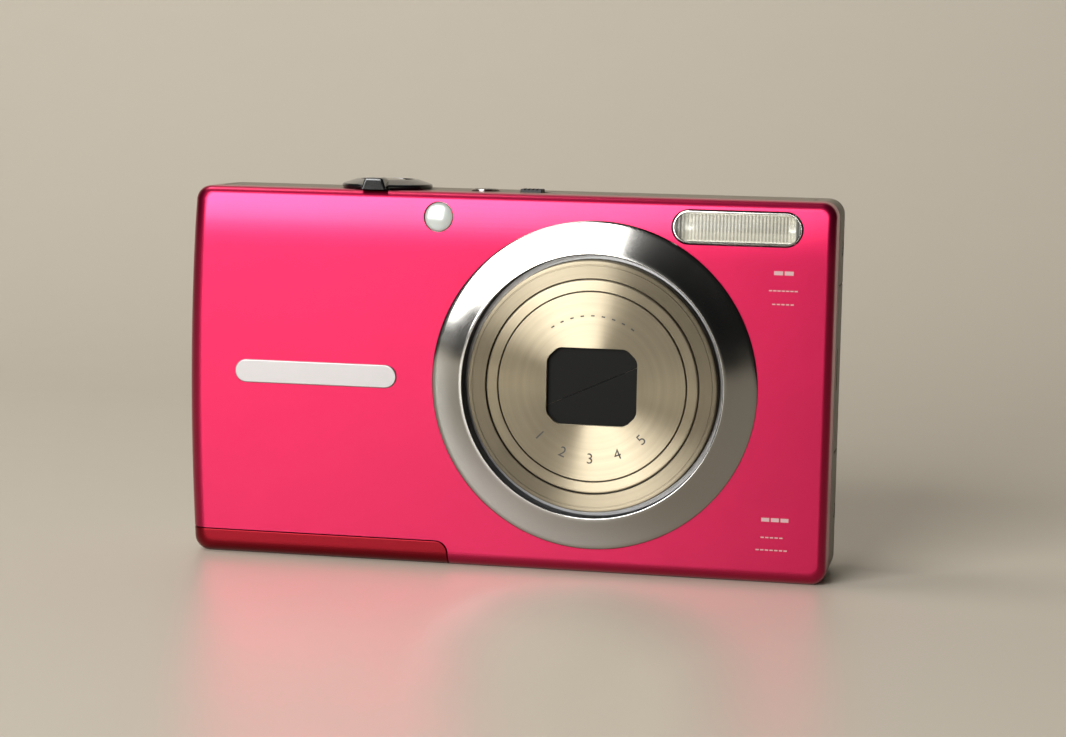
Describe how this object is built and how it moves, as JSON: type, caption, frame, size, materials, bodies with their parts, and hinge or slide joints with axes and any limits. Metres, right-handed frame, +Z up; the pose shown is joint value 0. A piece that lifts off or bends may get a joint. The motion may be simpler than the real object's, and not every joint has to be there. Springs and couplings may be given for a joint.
{
  "type": "compact digital camera",
  "caption": "Slim pocket digital camera with a metal front, a retracting zoom lens behind shutter blades, a flash, a rear display with keys, and a battery door in the base.",
  "frame": {"origin": "middle of the base, under the centre of the whole camera's box, lens ring and keys included", "axes": "+X to the right as the lens faces the viewer, +Y from the lens to the display, +Z up from the base"},
  "size_m": [0.0948, 0.0198, 0.056],
  "materials": {
    "front_metal": "satin anodised, metallic pink",
    "door_plastic": "gloss, deep red",
    "rear_plastic": "satin, warm grey",
    "ring_chrome": "polished",
    "barrel_metal": "concentric turned, champagne",
    "blade_metal": "satin black",
    "lens_glass": "coated and polished",
    "lamp_lens": "milky, smooth",
    "flash_lens": "clear, finely ribbed",
    "reflector": "polished",
    "black_plastic": "matt",
    "cell_wrap": "satin printed wrap",
    "card_plastic": "satin",
    "circuit_board": "solder mask",
    "pressed_steel": "rolled",
    "screw_steel": "dark nickel",
    "capacitor_sleeve": "shrink sleeve",
    "sensor_glass": "coated",
    "gear_brass": "cut teeth",
    "lever_black": "gloss black",
    "button_chrome": "satin plated",
    "key_plastic": "satin, warm grey",
    "display_glass": "gloss black",
    "display_panel": "matt",
    "key_rubber": "matt",
    "latch_orange": "satin"
  },
  "bodies": {
    "root": {"front_cover": "front_metal", "rear_cover": "rear_plastic", "top_plate": "rear_plastic", "lens_ring": "ring_chrome", "nameplate": "ring_chrome", "af_lamp_window": "lamp_lens", "flash_window": "flash_lens", "flash_reflector": "reflector", "flash_tube": "flash_lens", "flash_capacitor": "capacitor_sleeve", "flash_board": "circuit_board", "battery_box": "black_plastic", "battery": "cell_wrap", "battery_contacts": "black_plastic", "memory_card": "card_plastic", "card_slot": "pressed_steel", "main_board": "circuit_board", "chassis_plate": "pressed_steel", "case_screws": "screw_steel", "tripod_bush": "screw_steel", "strap_bar": "screw_steel", "av_socket": "pressed_steel", "lens_base": "black_plastic", "image_sensor": "sensor_glass", "sensor_plate": "pressed_steel", "zoom_motor": "pressed_steel", "shutter_spring": "screw_steel", "speaker": "black_plastic", "microphone": "pressed_steel", "lcd_panel": "display_panel", "lcd_window": "display_glass", "key_mat": "key_rubber", "thumb_grip": "rear_plastic"},
    "outer_barrel": {"outer_barrel": "barrel_metal"},
    "middle_barrel": {"middle_barrel": "barrel_metal", "zoom_lens_group": "lens_glass"},
    "inner_barrel": {"inner_barrel": "barrel_metal", "front_plate": "barrel_metal", "front_lens_group": "lens_glass"},
    "blade_upper": {"barrier_blade_upper": "blade_metal"},
    "blade_lower": {"barrier_blade_lower": "blade_metal"},
    "cam_ring": {"cam_ring": "pressed_steel"},
    "pinion": {"drive_pinion": "gear_brass"},
    "focus_lens": {"focus_lens": "lens_glass"},
    "shutter_button": {"shutter_button": "button_chrome"},
    "zoom_lever": {"zoom_lever": "lever_black"},
    "power_button": {"power_button": "button_chrome"},
    "mode_switch": {"mode_switch": "lever_black"},
    "play_button": {"play_button": "key_plastic"},
    "movie_button": {"movie_button": "key_plastic"},
    "menu_button": {"menu_button": "key_plastic"},
    "help_button": {"help_button": "key_plastic"},
    "nav_carrier": {"nav_carrier": "black_plastic"},
    "nav_ring": {"nav_ring": "key_plastic"},
    "set_button": {"set_button": "key_plastic"},
    "door_slider": {"door_slider": "black_plastic", "door_hinge_pin": "screw_steel"},
    "battery_door": {"battery_door": "door_plastic"},
    "battery_latch": {"battery_latch": "latch_orange"},
    "terminal_cover": {"terminal_cover": "rear_plastic"}
  },
  "joints": [
    {"name": "zoom_extend_1", "type": "slide", "parent": "root", "child": "outer_barrel", "axis": [0, -1, 0], "range_m": [0, 0.0085]},
    {"name": "zoom_extend_2", "type": "slide", "parent": "outer_barrel", "child": "middle_barrel", "axis": [0, -1, 0], "range_m": [0, 0.0085]},
    {"name": "zoom_extend_3", "type": "slide", "parent": "middle_barrel", "child": "inner_barrel", "axis": [0, -1, 0], "range_m": [0, 0.008]},
    {"name": "cam_ring_turn", "type": "hinge", "parent": "root", "child": "cam_ring", "pos_m": [0.0135, 0, 0.0272], "axis": [0, -1, 0], "range_deg": [0, 60]},
    {"name": "pinion_turn", "type": "hinge", "parent": "root", "child": "pinion", "pos_m": [0.02893, 0.002, 0.00881], "axis": [0, -1, 0], "range_deg": [-300, 0]},
    {"name": "blade_upper_swing", "type": "hinge", "parent": "inner_barrel", "child": "blade_upper", "pos_m": [0.02333, -0.0085, 0.03168], "axis": [0, 1, 0], "range_deg": [0, 22.5]},
    {"name": "blade_lower_swing", "type": "hinge", "parent": "inner_barrel", "child": "blade_lower", "pos_m": [0.00367, -0.0085, 0.02272], "axis": [0, 1, 0], "range_deg": [0, 22.5]},
    {"name": "focus_slide", "type": "slide", "parent": "root", "child": "focus_lens", "axis": [0, 1, 0], "range_m": [0, 0.001]},
    {"name": "shutter_press", "type": "slide", "parent": "root", "child": "shutter_button", "axis": [0, 0, -1], "range_m": [0, 0.0008], "stiffness_N_per_m": 1200, "springref_m": -0.0003, "deforming": ["shutter_spring"]},
    {"name": "zoom_lever_turn", "type": "hinge", "parent": "root", "child": "zoom_lever", "pos_m": [-0.0193, 0, 0.0545], "axis": [0, 0, 1], "range_deg": [-20, 20], "stiffness_Nm_per_rad": 0.01},
    {"name": "power_press", "type": "slide", "parent": "root", "child": "power_button", "axis": [0, 0, -1], "range_m": [0, 0.0004], "stiffness_N_per_m": 900, "springref_m": -0.0002},
    {"name": "mode_slide", "type": "slide", "parent": "root", "child": "mode_switch", "axis": [1, 0, 0], "range_m": [0, 0.004]},
    {"name": "play_press", "type": "slide", "parent": "root", "child": "play_button", "axis": [0, -1, 0], "range_m": [0, 0.0003], "stiffness_N_per_m": 800, "springref_m": -0.0002},
    {"name": "movie_press", "type": "slide", "parent": "root", "child": "movie_button", "axis": [0, -1, 0], "range_m": [0, 0.0003], "stiffness_N_per_m": 800, "springref_m": -0.0002},
    {"name": "menu_press", "type": "slide", "parent": "root", "child": "menu_button", "axis": [0, -1, 0], "range_m": [0, 0.0003], "stiffness_N_per_m": 800, "springref_m": -0.0002},
    {"name": "help_press", "type": "slide", "parent": "root", "child": "help_button", "axis": [0, -1, 0], "range_m": [0, 0.0003], "stiffness_N_per_m": 800, "springref_m": -0.0002},
    {"name": "nav_tilt_x", "type": "hinge", "parent": "root", "child": "nav_carrier", "pos_m": [-0.0315, 0.00773, 0.025], "axis": [1, 0, 0], "range_deg": [-3, 3], "stiffness_Nm_per_rad": 0.05},
    {"name": "nav_tilt_z", "type": "hinge", "parent": "nav_carrier", "child": "nav_ring", "pos_m": [-0.0315, 0.00773, 0.025], "axis": [0, 0, 1], "range_deg": [-3, 3], "stiffness_Nm_per_rad": 0.05},
    {"name": "set_press", "type": "slide", "parent": "root", "child": "set_button", "axis": [0, -1, 0], "range_m": [0, 0.0003], "stiffness_N_per_m": 800, "springref_m": -0.0002},
    {"name": "door_slide", "type": "slide", "parent": "root", "child": "door_slider", "axis": [-1, 0, 0], "range_m": [0, 0.0018]},
    {"name": "door_swing", "type": "hinge", "parent": "door_slider", "child": "battery_door", "pos_m": [-0.027, 0.0064, 0.0013], "axis": [1, 0, 0], "range_deg": [0, 95]},
    {"name": "latch_slide", "type": "slide", "parent": "root", "child": "battery_latch", "axis": [0, 1, 0], "range_m": [0, 0.001], "stiffness_N_per_m": 300, "springref_m": -0.0003},
    {"name": "terminal_swing", "type": "hinge", "parent": "root", "child": "terminal_cover", "pos_m": [0.04675, 0.006, 0.03], "axis": [0, 0, 1], "range_deg": [0, 100]}
  ],
  "couplings": [
    {"joint": "zoom_extend_2", "follows": "zoom_extend_1", "ratio": 1},
    {"joint": "zoom_extend_3", "follows": "zoom_extend_1", "ratio": 0.94},
    {"joint": "cam_ring_turn", "follows": "zoom_extend_1", "rad_per_m": 123.19},
    {"joint": "pinion_turn", "follows": "zoom_extend_1", "rad_per_m": -615.95},
    {"joint": "blade_upper_swing", "follows": "zoom_extend_1", "rad_per_m": 46.19},
    {"joint": "blade_lower_swing", "follows": "zoom_extend_1", "rad_per_m": 46.19}
  ]
}
